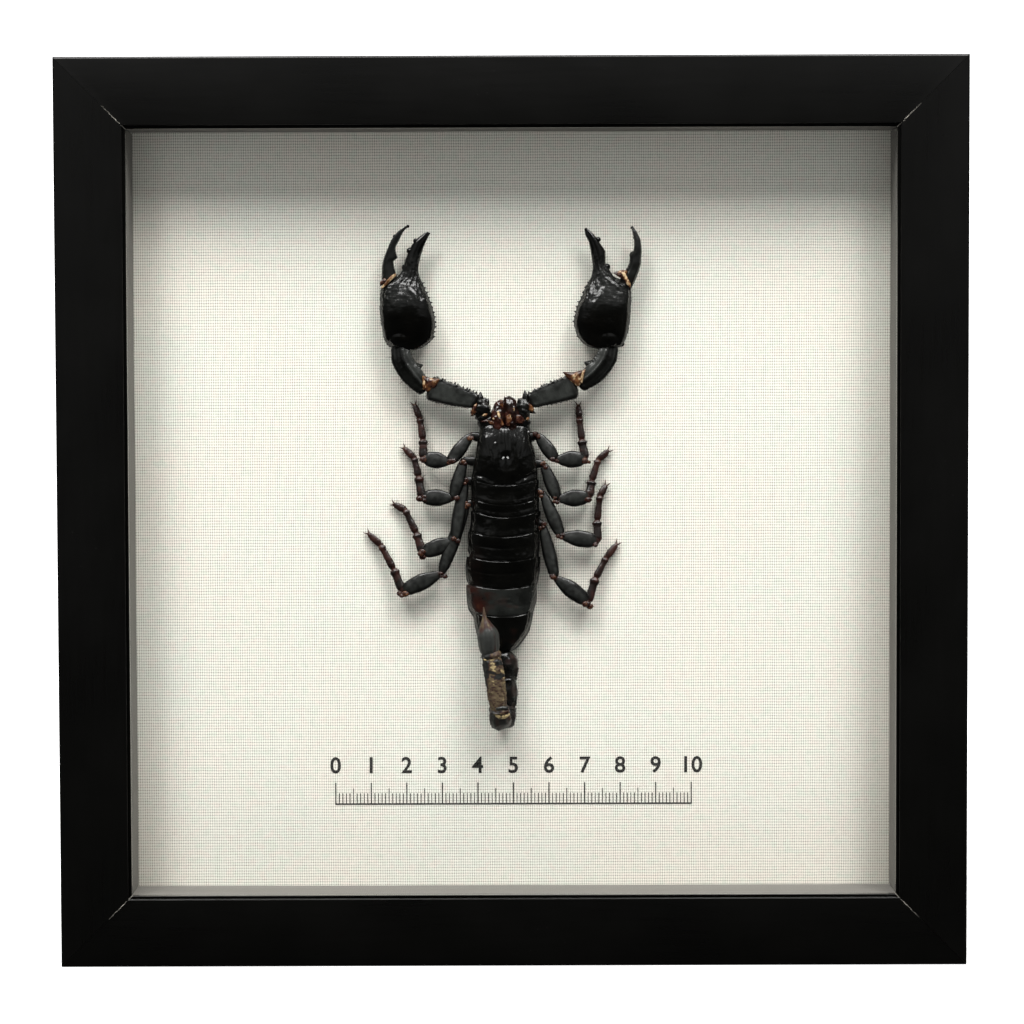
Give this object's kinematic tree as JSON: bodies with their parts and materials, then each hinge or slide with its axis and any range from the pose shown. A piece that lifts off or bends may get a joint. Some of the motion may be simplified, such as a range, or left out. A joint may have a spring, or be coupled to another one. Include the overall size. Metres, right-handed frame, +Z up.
{
  "type": "framed scorpion specimen box",
  "caption": "Square black box frame with a glass front and linen lining that holds a dried black scorpion with its tail folded over its back.",
  "frame": {"origin": "middle of the footprint of the frame's bottom edge, at half its depth", "axes": "+Z up; the glass faces -Y and the hanging plate is on the +Y side; +X is to the right as seen from the front"},
  "size_m": [0.25, 0.035, 0.25],
  "materials": {
    "moulding": "black painted wood, satin, fine grain just showing",
    "glass": "clear float glass",
    "linen": "natural cream linen, plain weave with slubs",
    "board": "white foam-core board",
    "back_panel": "smooth brown fibreboard",
    "steel": "zinc-plated steel",
    "shell": "glossy black dried shell, brown at the joints"
  },
  "bodies": {
    "root": {"frame_top": "moulding", "frame_right": "moulding", "frame_bottom": "moulding", "frame_left": "moulding", "glass": "glass", "spacer_top": "linen", "spacer_right": "linen", "spacer_bottom": "linen", "spacer_left": "linen", "linen": "linen", "mount_board": "board", "back_panel": "back_panel", "back_tab_1": "steel", "back_tab_2": "steel", "back_tab_3": "steel", "back_tab_4": "steel", "back_tab_5": "steel", "back_tab_6": "steel", "back_tab_7": "steel", "back_tab_8": "steel", "hanger": "steel", "hanger_nail_left": "steel", "hanger_nail_right": "steel", "scorpion_body": "shell", "scorpion_left_arm": "shell", "scorpion_right_arm": "shell", "scorpion_tail": "shell"}
  },
  "joints": []
}
